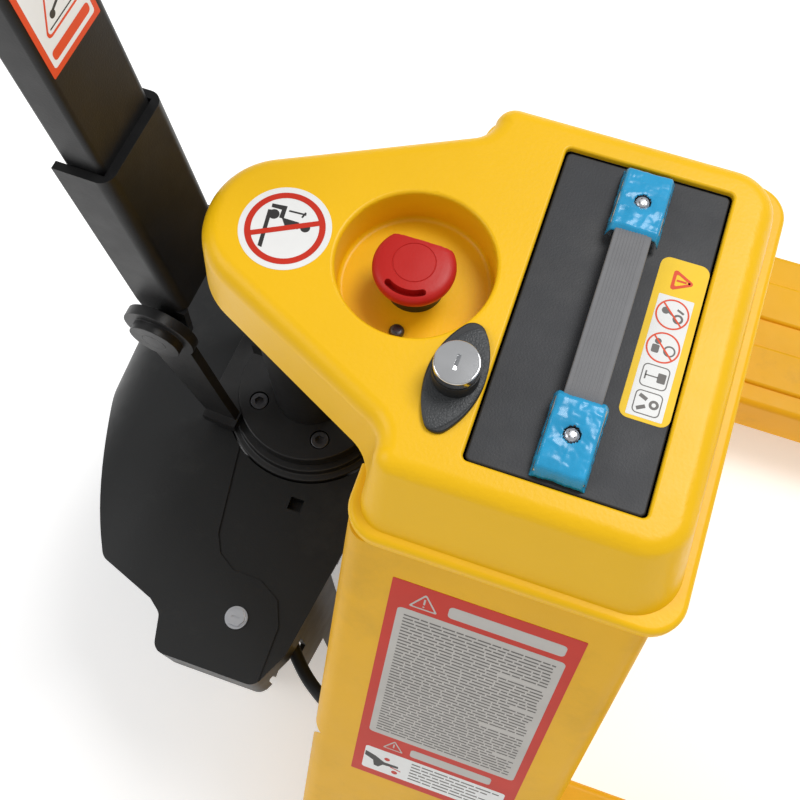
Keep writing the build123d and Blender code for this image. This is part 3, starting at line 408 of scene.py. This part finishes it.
class Sheet:
    """Layers of flat printed shapes on a surface. M4 takes (u, v, height) in millimetres to the row frame."""

    def __init__(self, name, surface, outward):
        self.name, self.surface, self.out = name, surface, Vector(outward)
        self.v, self.f, self.m, self.mats = [], [], [], []

    def _mat(self, m):
        if m not in self.mats:
            self.mats.append(m)
        return self.mats.index(m)

    def _face(self, idx, k):
        a, b, c = (Vector(self.v[i]) for i in idx[:3])
        n = (b - a).cross(c - a)
        if n.dot(self.out) < 0:
            idx = idx[::-1]
        self.f.append(tuple(idx))
        self.m.append(k)

    def fill(self, pts, m, h, skirt=False):
        k = self._mat(m)
        base = len(self.v)
        self.v += [self.surface(u, v, h) for u, v in pts]
        for t in tessellate_polygon([[Vector((u, v, 0)) for u, v in pts]]):
            self._face([base + i for i in t], k)
        if skirt:
            low = len(self.v)
            n = len(pts)
            self.v += [self.surface(u, v, 0.0) for u, v in pts]
            for i in range(n):
                j = (i + 1) % n
                self.f.append((base + i, base + j, low + j, low + i))
                self.m.append(k)
        return self

    def ring(self, outer, inner, m, h):
        k = self._mat(m)
        n = len(outer)
        base = len(self.v)
        self.v += [self.surface(u, v, h) for u, v in outer] + [self.surface(u, v, h) for u, v in inner]
        for i in range(n):
            j = (i + 1) % n
            self._face([base + i, base + j, base + n + j, base + n + i], k)
        return self

    def done(self, body):
        me = bpy.data.meshes.new(self.name)
        me.from_pydata([tuple(p) for p in self.v], [], self.f)
        for m in self.mats:
            me.materials.append(m)
        for p, k in zip(me.polygons, self.m):
            p.material_index = k
        me.update()
        o = bpy.data.objects.new(self.name, me)
        bpy.context.scene.collection.objects.link(o)
        return place(o, body)


def grow(pts, d):
    """Shrinks (d < 0) or grows a convex outline about its centre by about d."""
    cx = sum(p[0] for p in pts) / len(pts)
    cy = sum(p[1] for p in pts) / len(pts)
    out = []
    for x, y in pts:
        r = math.hypot(x - cx, y - cy)
        out.append((cx + (x - cx) * (r + d) / r, cy + (y - cy) * (r + d) / r))
    return out


# prohibition disc on the nose
NX, NY = -125.0, -3.0
s = Sheet("nose_disc_sticker", lambda u, v, h: W(NX + u, NY + v, 514.0 + h), (0, 0, 1))
s.fill(circ(0, 0, 24.5, 72), M["label_white"], 0.18, skirt=True)
s.fill([(-11.5, 11.7), (-3.3, 12.6), (-2.6, 4.9), (-5.2, 4.9), (-5.4, 9.7), (-11.1, 9.5)], M["black_print_and_painted_shade"], 0.24)
s.fill(circ(-8.4, 6.0, 2.9, 28), M["black_print_and_painted_shade"], 0.25)
s.fill([(-12.3, 7.7), (-10.2, 8.1), (-7.4, -14.4), (-9.7, -14.0)], M["black_print_and_painted_shade"], 0.26)
s.fill([(-3.9, 5.4), (5.9, 5.4), (6.5, 1.4), (-0.4, 0.9)], M["black_print_and_painted_shade"], 0.24)
s.fill(circ(10.0, 3.4, 2.6, 28), M["black_print_and_painted_shade"], 0.24)
s.fill(bar((-1.6, 10.3), (7.8, 10.8), 1.0), M["black_print_and_painted_shade"], 0.25)
s.fill(bar((6.2, 8.6), (7.2, 12.0), 1.0), M["black_print_and_painted_shade"], 0.26)
s.ring(circ(0, 0, 21.2, 72), circ(0, 0, 17.9, 72), M["label_red"], 0.30)
c_, s_ = math.cos(math.radians(27.5)), math.sin(math.radians(27.5))
s.fill(bar((-18.6 * c_, -18.6 * s_), (18.6 * c_, 18.6 * s_), 3.0), M["label_red"], 0.31)
s.done("chassis")

# battery sticker with generic pictograms
s = Sheet("battery_sticker", lambda u, v, h: W(u, v, 511.0 + h), (0, 0, 1))
s.fill(round_poly([(64.4, -45.6), (90.0, -45.6), (90.0, 47.0), (64.4, 47.0)], 5.0), M["label_yellow"], 0.18, skirt=True)
s.fill(round_poly([(67.9, -43.6), (86.2, -43.6), (86.2, 25.2), (67.9, 25.2)], 0.6), M["label_white"], 0.24)
tri = [(72.3, 41.4), (84.6, 34.8), (72.3, 28.2)]
s.ring(round_poly(tri, 1.4), round_poly(grow(tri, -3.2), 0.8), M["label_orange"], 0.26)
s.fill(bar((74.6, 34.8), (79.8, 34.8), 1.1), M["label_orange"], 0.26)
s.fill(circ(81.2, 34.8, 0.65, 12), M["label_orange"], 0.26)
for cy in (15.2, -4.1):
    s.ring(circ(77.1, cy, 8.6, 48), circ(77.1, cy, 7.7, 48), M["label_orange"], 0.30)
    s.fill(bar((77.1 - 5.6, cy + 5.6), (77.1 + 5.6, cy - 5.6), 0.9), M["label_orange"], 0.31)
s.fill(circ(73.4, 16.6, 2.0, 20), M["label_dark"], 0.26)
s.ring(circ(80.4, 13.4, 2.7, 24), circ(80.4, 13.4, 1.5, 24), M["label_dark"], 0.26)
s.fill(bar((75.0, 16.2), (78.4, 14.2), 1.1), M["label_dark"], 0.27)
s.fill(bar((79.0, 18.6), (82.6, 17.0), 1.2), M["label_dark"], 0.26)
s.fill(round_poly([(71.6, -3.2), (75.4, -3.2), (75.4, -7.8), (71.6, -7.8)], 0.8), M["label_dark"], 0.26)
s.fill(circ(74.0, -1.2, 1.7, 20), M["label_dark"], 0.26)
s.ring(circ(80.6, -5.2, 3.1, 24), circ(80.6, -5.2, 2.2, 24), M["label_dark"], 0.26)
for cy in (-20.7, -35.5):
    sq = [(70.2, cy - 6.4), (84.0, cy - 6.4), (84.0, cy + 6.4), (70.2, cy + 6.4)]
    s.ring(round_poly(sq, 2.6), round_poly([(x + (0.6 if x < 77 else -0.6), y + (0.6 if y < cy else -0.6)) for x, y in sq], 2.1), M["label_dark"], 0.26)
s.fill(round_poly([(78.4, -23.4), (82.6, -23.4), (82.6, -18.0), (78.4, -18.0)], 0.6), M["label_dark"], 0.27)
s.fill(bar((72.2, -20.7), (78.6, -20.7), 0.7), M["label_dark"], 0.27)
s.fill(bar((72.4, -18.4), (72.4, -23.0), 0.8), M["label_dark"], 0.27)
s.fill(bar((72.4, -31.8), (76.4, -33.6), 2.0), M["label_dark"], 0.27)
s.fill(bar((72.4, -39.4), (76.4, -37.2), 2.0), M["label_dark"], 0.27)
s.ring(circ(80.3, -35.5, 2.5, 24), circ(80.3, -35.5, 1.1, 24), M["label_dark"], 0.27)
s.done("battery")

# large panel on the slanted side wall: plain print rows and generic symbols
def on_wall(u, v, h):
    z = 443.6 - v / 1.105
    y = -(133.8 + 0.47 * (463.4 - z))
    return W(-17.6 + u, y - 0.905 * h, z + 0.4254 * h)


s = Sheet("wall_panel_sticker", on_wall, (0, -0.905, 0.4254))
s.fill(round_poly([(0, 0), (105.9, 0), (105.9, 214.5), (0, 214.5)], 0.8), M["label_red"], 0.2, skirt=True)
s.fill(round_poly([(6.0, 23.2), (100.2, 23.2), (100.2, 160.0), (6.0, 160.0)], 3.0), M["label_grey"], 0.26)
t1 = [(19.5, 5.4), (27.8, 19.6), (11.2, 19.6)]
s.ring(round_poly(t1, 0.9), round_poly(grow(t1, -2.0), 0.6), M["label_grey"], 0.26)
s.fill(bar((19.5, 10.2), (19.5, 15.0), 1.0), M["label_grey"], 0.26)
s.fill(circ(19.5, 16.9, 0.6, 10), M["label_grey"], 0.26)
s.fill(round_poly([(33.0, 8.6), (97.5, 8.6), (97.5, 18.6), (33.0, 18.6)], 2.6), M["label_grey"], 0.26)
t2 = [(23.9, 163.0), (30.8, 174.6), (17.0, 174.6)]
s.ring(round_poly(t2, 0.7), round_poly(grow(t2, -1.8), 0.4), M["label_grey"], 0.26)
s.fill(bar((23.9, 167.2), (23.9, 171.6), 0.9), M["label_grey"], 0.26)
s.fill(round_poly([(35.0, 166.0), (88.0, 166.0), (88.0, 174.8), (35.0, 174.8)], 2.2), M["label_grey"], 0.26)
s.fill(round_poly([(6.6, 179.2), (99.6, 179.2), (99.6, 207.6), (6.6, 207.6)], 2.0), M["label_white"], 0.26)
rows = 42
seed = 11
for i in range(rows):
    y0 = 28.4 + i * 3.06
    x = 10.2
    end = 95.8
    if i % 9 == 8:
        end = 62.0 + (i * 7) % 25
    while x < end - 2:
        seed = (seed * 1103515245 + 12345) & 0x7FFFFFFF
        ln = 3.4 + (seed >> 8) % 100 / 100.0 * 7.0
        x2 = min(end, x + ln)
        s.fill([(x, y0), (x2, y0), (x2, y0 + 1.15), (x, y0 + 1.15)], M["label_dark"], 0.31)
        x = x2 + 0.9
for i in range(6):
    y0 = 182.6 + i * 3.9
    x = 38.0
    end = 96.0 - (i % 3) * 7
    while x < end - 2:
        seed = (seed * 1103515245 + 12345) & 0x7FFFFFFF
        ln = 4.0 + (seed >> 8) % 100 / 100.0 * 7.0
        x2 = min(end, x + ln)
        s.fill([(x, y0), (x2, y0), (x2, y0 + 1.3), (x, y0 + 1.3)], M["label_dark"], 0.31)
        x = x2 + 1.0
s.fill([(7.2, 186.0), (14.0, 188.6), (20.6, 193.4), (30.0, 193.0), (30.4, 195.6), (20.0, 197.2), (17.4, 201.6), (14.4, 201.2), (13.2, 195.0), (7.2, 191.6)], M["black_print_and_painted_shade"], 0.31)
s.fill(circ(22.0, 188.6, 1.9, 18), M["label_red"], 0.31)
s.fill(bar((25.0, 196.6), (32.4, 198.4), 1.0), M["label_red"], 0.32)
s.fill(circ(28.6, 202.0, 2.1, 18), M["label_red"], 0.31)
s.done("chassis")

# tiller sticker on the tube's front face
s = Sheet("tiller_sticker", lambda u, v, h: M_TILLER @ (Vector((12.5 + h, u, v)) * MM), M_TILLER.to_3x3() @ Vector((1, 0, 0)))
s.fill(round_poly([(-21.6, 222.0), (19.6, 222.0), (19.6, 330.0), (-21.6, 330.0)], 0.8), M["label_orange"], 0.2, skirt=True)
s.fill(round_poly([(-18.6, 225.4), (16.6, 225.4), (16.6, 326.4), (-18.6, 326.4)], 1.6), M["label_white"], 0.26)
s.fill(round_poly([(-16.4, 228.0), (14.6, 228.0), (14.6, 233.4), (-16.4, 233.4)], 2.0), M["label_orange"], 0.30)
t3 = [(-15.6, 238.4), (13.8, 238.4), (-0.9, 266.0)]
s.ring(round_poly(t3, 2.6), round_poly(grow(t3, -2.4), 1.8), M["label_orange"], 0.30)
s.fill(bar((-10.8, 241.6), (9.0, 241.6), 0.8), M["black_print_and_painted_shade"], 0.30)
s.fill(circ(-5.6, 246.0, 2.0, 16), M["black_print_and_painted_shade"], 0.30)
s.fill(bar((-4.6, 247.2), (3.4, 250.0), 1.6), M["black_print_and_painted_shade"], 0.31)
s.fill(circ(4.4, 246.4, 1.7, 16), M["black_print_and_painted_shade"], 0.30)
s.fill(bar((-3.4, 252.2), (2.6, 254.8), 1.2), M["label_orange"], 0.31)
s.ring(circ(-0.9, 284.0, 9.4, 40), circ(-0.9, 284.0, 7.8, 40), M["label_orange"], 0.30)
s.fill(bar((-6.9, 278.0), (5.1, 290.0), 1.6), M["label_orange"], 0.31)
s.fill(bar((-4.4, 287.4), (-4.4, 281.4), 1.4), M["black_print_and_painted_shade"], 0.30)
s.fill(bar((-4.4, 282.0), (3.0, 282.0), 1.2), M["black_print_and_painted_shade"], 0.30)
for i in range(6):
    s.fill([(-15.6, 300.0 + i * 4.0), (13.6 - (i % 3) * 4, 300.0 + i * 4.0), (13.6 - (i % 3) * 4, 301.5 + i * 4.0), (-15.6, 301.5 + i * 4.0)], M["label_dark"], 0.30)
s.done("tiller")

# ------------------------------------------------------------------ stop button head
def stop_head():
    cx, cy = -54.4, -2.0
    R = 21.8
    n = 160
    prof = [(0.0, 517.7), (4.0, 517.65), (8.0, 517.5), (10.7, 517.4), (10.9, 517.0), (11.2, 517.0), (11.4, 517.35), (14.0, 517.1), (17.0, 516.8), (19.4, 516.2), (20.9, 515.2), (21.7, 513.6),
            (21.8, 512.0), (21.5, 510.2), (20.6, 508.6), (18.0, 507.4), (16.2, 506.0), (15.9, 504.5), (12.0, 504.5)]
    verts, faces = [], []
    for j, (r, z) in enumerate(prof):
        for i in range(n):
            a = 2 * math.pi * i / n
            x, y = r * math.cos(a), r * math.sin(a)
            lim = 13.7 + 0.0012 * x * x
            if r > 11.5 and y > lim - (517.7 - z) * 0.05:
                y = lim - (517.7 - z) * 0.05
            verts.append(W(cx + x, cy + y, z))
    for j in range(len(prof) - 1):
        for i in range(n):
            k = (i + 1) % n
            faces.append((j * n + i, j * n + k, (j + 1) * n + k, (j + 1) * n + i))
    o = mesh_obj("stop_button_head", verts, faces, [M["red_plastic"]], angle=40)
    # curved finger slot near the front edge
    m = 24
    outer_r, inner_r = 18.9, 15.4
    loop = []
    for i in range(m + 1):
        a = math.radians(-90 - 33 + 66 * i / m)
        loop.append((outer_r * math.cos(a), outer_r * math.sin(a)))
    for i in range(1, 8):
        t = math.pi * i / 8
        a = math.radians(-90 + 33)
        mid = (outer_r + inner_r) / 2
        w = (outer_r - inner_r) / 2
        loop.append(((mid + w * math.cos(t)) * math.cos(a) - w * math.sin(t) * math.sin(a), (mid + w * math.cos(t)) * math.sin(a) + w * math.sin(t) * math.cos(a)))
    for i in range(m + 1):
        a = math.radians(-90 + 33 - 66 * i / m)
        loop.append((inner_r * math.cos(a), inner_r * math.sin(a)))
    for i in range(1, 8):
        t = math.pi * i / 8
        a = math.radians(-90 - 33)
        mid = (outer_r + inner_r) / 2
        w = (outer_r - inner_r) / 2
        loop.append(((mid - w * math.cos(t)) * math.cos(a) + w * math.sin(t) * math.sin(a), (mid - w * math.cos(t)) * math.sin(a) - w * math.sin(t) * math.cos(a)))
    cut_v = [W(cx + x, cy + y, 525) for x, y in loop] + [W(cx + x, cy + y, 510.6) for x, y in loop]
    k = len(loop)
    cut_f = [tuple(range(k)), tuple(range(2 * k - 1, k - 1, -1))] + [(i, (i + 1) % k, k + (i + 1) % k, k + i) for i in range(k)]
    me = bpy.data.meshes.new("slot_cutter")
    me.from_pydata([tuple(v) for v in cut_v], [], cut_f)
    bm = bmesh.new()
    bm.from_mesh(me)
    bmesh.ops.recalc_face_normals(bm, faces=bm.faces)
    bm.to_mesh(me)
    bm.free()
    return o, me, loop, (cx, cy)


def closed_boolean(o, cutter_mesh):
    """Cuts cutter_mesh out of the closed mesh o and keeps only the result."""
    c = bpy.data.objects.new("cutter", cutter_mesh)
    bpy.context.scene.collection.objects.link(c)
    md = o.modifiers.new("cut", "BOOLEAN")
    md.operation = "DIFFERENCE"
    md.solver = "EXACT"
    md.object = c
    bpy.context.view_layer.update()
    dg = bpy.context.evaluated_depsgraph_get()
    me = bpy.data.meshes.new_from_object(o.evaluated_get(dg))
    o.modifiers.remove(md)
    old = o.data
    o.data = me
    bpy.data.objects.remove(c)
    return o


ho, cutter, loop_, hc_ = stop_head()
closed_boolean(ho, cutter)
bm = bmesh.new()
bm.from_mesh(ho.data)
for f in bm.faces:
    f.smooth = True
for e in bm.edges:
    e.smooth = not (len(e.link_faces) == 2 and e.calc_face_angle(0.0) > math.radians(38))
bm.to_mesh(ho.data)
bm.free()
place(ho, "estop")
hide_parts("estop_head")

# ------------------------------------------------------------------ key switch: grained plate
def oval(L2, W2, rnd, n=10):
    R = (L2 * L2 + W2 * W2) / (2 * W2)
    a = math.degrees(math.asin(L2 / R))
    right = [(-(R - W2) + R * math.cos(math.radians(t)), R * math.sin(math.radians(t))) for t in [-a + 2 * a * i / 28 for i in range(29)]]
    left = [(-x, -y) for x, y in right]
    pts = right[:-1] + left[:-1]
    # soften the two points
    for _ in range(6):
        pts = [((pts[i - 1][0] + 2 * pts[i][0] + pts[(i + 1) % len(pts)][0]) / 4, (pts[i - 1][1] + 2 * pts[i][1] + pts[(i + 1) % len(pts)][1]) / 4) for i in range(len(pts))]
    return pts


ev, ef = [], []
ov = oval(32.0, 14.0, 4)
ca, sa = math.cos(math.radians(-8)), math.sin(math.radians(-8))
levels = [(0.2, 516.5), (-0.15, 516.9), (-0.9, 517.15), (-3.0, 517.3), (-7.5, 517.45)]
for d, z in levels:
    for x, y in ov:
        r = math.hypot(x, y)
        x2, y2 = x * (r + d) / r, y * (r + d) / r
        ev.append(W(-15.0 + x2 * ca - y2 * sa, -55.0 + x2 * sa + y2 * ca, z))
k = len(ov)
for j in range(len(levels) - 1):
    for i in range(k):
        ef.append((j * k + i, j * k + (i + 1) % k, (j + 1) * k + (i + 1) % k, (j + 1) * k + i))
ev.append(W(-15.0, -55.0, 517.5))
for i in range(k):
    ef.append(((len(levels) - 1) * k + i, (len(levels) - 1) * k + (i + 1) % k, len(ev) - 1))
ko = mesh_obj("key_plate_grain_pad", ev, ef, [M["leather"]], angle=50)
place(ko, "chassis")

# ------------------------------------------------------------------ battery strap with ribs
sv, sf = [], []
NXs, NYs = 64, 40
for j in range(NYs + 1):
    y = -57.0 + 114.0 * j / NYs
    t = abs(y) / 57.0
    top = 521.6 + 4.2 * (1 - t ** 2.4) - 5.0 * max(0.0, t - 0.82) / 0.18
    for i in range(NXs + 1):
        u = -9.7 + 19.4 * i / NXs
        rib = 0.34 * (0.5 + 0.5 * math.cos(2 * math.pi * u / 1.62)) if abs(u) < 7.4 else 0.0
        edge = -0.9 * max(0.0, (abs(u) - 9.0) / 0.7) ** 2
        sv.append(W(46.3 + u, y, top + rib + edge))
for j in range(NYs + 1):
    y = -57.0 + 114.0 * j / NYs
    t = abs(y) / 57.0
    top = 518.8 + 4.2 * (1 - t ** 2.4) - 5.0 * max(0.0, t - 0.82) / 0.18
    for u in (-9.7, 9.7):
        sv.append(W(46.3 + u, y, max(511.2, top)))
row = NXs + 1
for j in range(NYs):
    for i in range(NXs):
        a = j * row + i
        sf.append((a, a + 1, a + 1 + row, a + row))
b0 = (NYs + 1) * row
for j in range(NYs):
    a, b = b0 + 2 * j, b0 + 2 * j + 2
    sf.append((j * row, a, b, (j + 1) * row))
    sf.append((j * row + NXs, (j + 1) * row + NXs, b + 1, a + 1))
    sf.append((a, a + 1, b + 1, b))
so = mesh_obj("ribbed_strap", sv, sf, [M["strap_grey"]], angle=60)
place(so, "battery")
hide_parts("battery_strap")

# ------------------------------------------------------------------ strap caps in crinkled protective film
def hash2(i, j, k=0):
    q = math.sin(i * 12.9898 + j * 78.233 + k * 37.719) * 43758.5453
    return q - math.floor(q)


def crinkle(x, y, seed=0):
    """Smooth value noise with a few sharper folds."""
    v = 0.0
    for s_, a_ in ((0.11, 1.0), (0.24, 0.5), (0.5, 0.22)):
        fx, fy = x * s_ + seed * 7.3, y * s_ - seed * 3.1
        i, j = math.floor(fx), math.floor(fy)
        u, w = fx - i, fy - j
        u, w = u * u * (3 - 2 * u), w * w * (3 - 2 * w)
        n = (hash2(i, j) * (1 - u) + hash2(i + 1, j) * u) * (1 - w) + (hash2(i, j + 1) * (1 - u) + hash2(i + 1, j + 1) * u) * w
        v += a_ * (1 - abs(2 * n - 1))
    return v


for sgn, tag in ((1, "left"), (-1, "right")):
    fv, ff = [], []
    nu, nv = 44, 60
    hole = 5.2

    def film(u, v):
        """u across the cap in X, v along Y from the inner end; both -1..1 with skirts past the edges."""
        hw, y0, y1 = 13.6, 46.6, 89.4
        x = u * hw
        y = y0 + (y1 - y0) * (v + 1) / 2
        top = 523.6 if y < 60 else 523.6 - (y - 60) * 0.14
        if y < 50:
            top -= (50 - y) * 0.9
        if y > 85.5:
            top -= (y - 85.5) ** 1.5 * 0.8
        e = max(0.0, abs(x) - 11.0)
        top -= min(9.5, e * e * 0.95)
        k_ = 1.0 if e < 1 else 0.5
        top += 0.85 * (crinkle(x * 1.0, y * 1.0, 3 if sgn > 0 else 5) - 0.9) * k_
        d = math.hypot(x, y - 67)
        if d < 9.0:
            top -= 1.3 * (1 - d / 9.0)
        return x, y, max(511.4, top)

    for j in range(nv + 1):
        for i in range(nu + 1):
            u = -1 + 2 * i / nu
            v = -1 + 2 * j / nv
            x, y, z = film(u, v)
            wob = 0.5 * (crinkle(x * 2, y * 2, 9) - 0.9)
            fv.append(W(46.3 + x + wob * (1 if abs(u) > 0.95 else 0), sgn * (y + wob * (1 if abs(v) > 0.95 else 0)), z))
    for j in range(nv):
        for i in range(nu):
            u = -1 + 2 * (i + 0.5) / nu
            v = -1 + 2 * (j + 0.5) / nv
            x, y, z = film(u, v)
            if math.hypot(x, y - 67) < 4.4:
                continue
            a = j * (nu + 1) + i
            ff.append((a, a + 1, a + nu + 2, a + nu + 1))
    fo = mesh_obj("cap_film_" + tag, fv, ff, [M["blue_film"]], angle=70)
    sol = fo.modifiers.new("film", "SOLIDIFY")
    sol.thickness = 0.25 * MM
    sol.offset = 1
    place(fo, "battery")

# ------------------------------------------------------------------ cross-head screws over the caps, pan screw in the recess
def cross_screw(name, x, y, z, r, h, mtl, body, turn=20, hexed=False, washer=False):
    n = 64
    prof = [(0.0, z + h - 0.02), (r * 0.35, z + h), (r * 0.7, z + h * 0.9), (r * 0.92, z + h * 0.6), (r, z + h * 0.25), (r, z)]
    verts, faces = [], []
    for rr_, zz_ in prof:
        for i in range(n):
            a = 2 * math.pi * i / n
            q = rr_
            if hexed and rr_ > r * 0.8:
                w = math.cos(math.pi / 6) / math.cos(((a + math.radians(turn)) % (math.pi / 3)) - math.pi / 6)
                q = rr_ * min(1.0, w * 1.02)
            verts.append(W(x + q * math.cos(a), y + q * math.sin(a), zz_))
    for j in range(len(prof) - 1):
        for i in range(n):
            k = (i + 1) % n
            faces.append((j * n + i, j * n + k, (j + 1) * n + k, (j + 1) * n + i))
    if washer:
        base = len(verts)
        ring = [(r, z + 0.9), (r * 1.28, z + 0.9), (r * 1.36, z + 0.5), (r * 1.36, z)]
        for rr_, zz_ in ring:
            for i in range(n):
                a = 2 * math.pi * i / n
                verts.append(W(x + rr_ * math.cos(a), y + rr_ * math.sin(a), zz_))
        for j in range(len(ring) - 1):
            for i in range(n):
                k = (i + 1) % n
                faces.append((base + j * n + i, base + j * n + k, base + (j + 1) * n + k, base + (j + 1) * n + i))
    # cross recess drawn as painted shade: two thin flat black bars laid on the dome stand in for the shaded sunk cross
    o = mesh_obj(name, verts, faces, [mtl, M["black_print_and_painted_shade"]], angle=45)
    cv, cf = [], []
    for a in (turn, turn + 90):
        c2, s2 = math.cos(math.radians(a)), math.sin(math.radians(a))
        L_, w_ = r * 0.52, r * 0.11
        for (p, q) in ((-L_, -w_), (L_, -w_), (L_, w_), (-L_, w_)):
            cv.append(W(x + p * c2 - q * s2, y + p * s2 + q * c2, z + h + 0.06 - abs(p) * 0.05))
        b = len(cv) - 4
        cf.append((b, b + 1, b + 2, b + 3))
    me = bpy.data.meshes.new(name + "_cross")
    me.from_pydata([tuple(v) for v in cv], [], cf)
    me.materials.append(M["black_print_and_painted_shade"])
    co = bpy.data.objects.new(name + "_cross", me)
    bpy.context.scene.collection.objects.link(co)
    place(o, body)
    place(co, body)
    return o


for sgn, tag in ((1, "left"), (-1, "right")):
    cross_screw("cap_screw_" + tag, 46.3, sgn * 67.0, 519.0, 4.1, 3.6, M["zinc"], "battery", turn=33 * sgn)
cross_screw("recess_pan_screw", -54.9, -29.0, 488.6, 4.1, 2.6, M["dark_zinc"], "chassis", turn=12)
